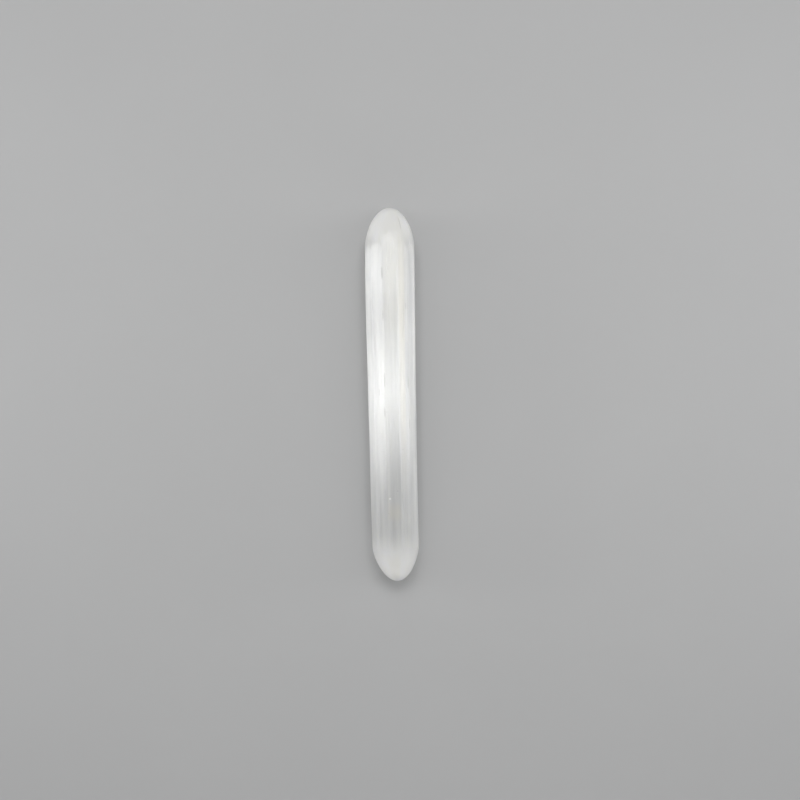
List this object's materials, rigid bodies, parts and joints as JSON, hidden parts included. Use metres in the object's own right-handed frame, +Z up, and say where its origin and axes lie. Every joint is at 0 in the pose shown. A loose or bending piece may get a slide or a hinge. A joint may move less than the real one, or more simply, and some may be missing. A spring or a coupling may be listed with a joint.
{
  "type": "selenite wand",
  "caption": "Polished satin-spar selenite stick with long soft flats, a broad rounded end and a narrower, more pointed end; lies on one flat.",
  "frame": {"origin": "on the surface that the wand lies on, under the middle of its bounding box", "axes": "+Y along the wand towards its broad rounded end, +Z up from the flat that it lies on, +X to the right seen from above"},
  "size_m": [0.0216, 0.16, 0.0202],
  "materials": {
    "selenite": "milky white satin spar, polished to a silky gloss along its fibres"
  },
  "bodies": {
    "root": {"wand": "selenite"}
  },
  "joints": []
}
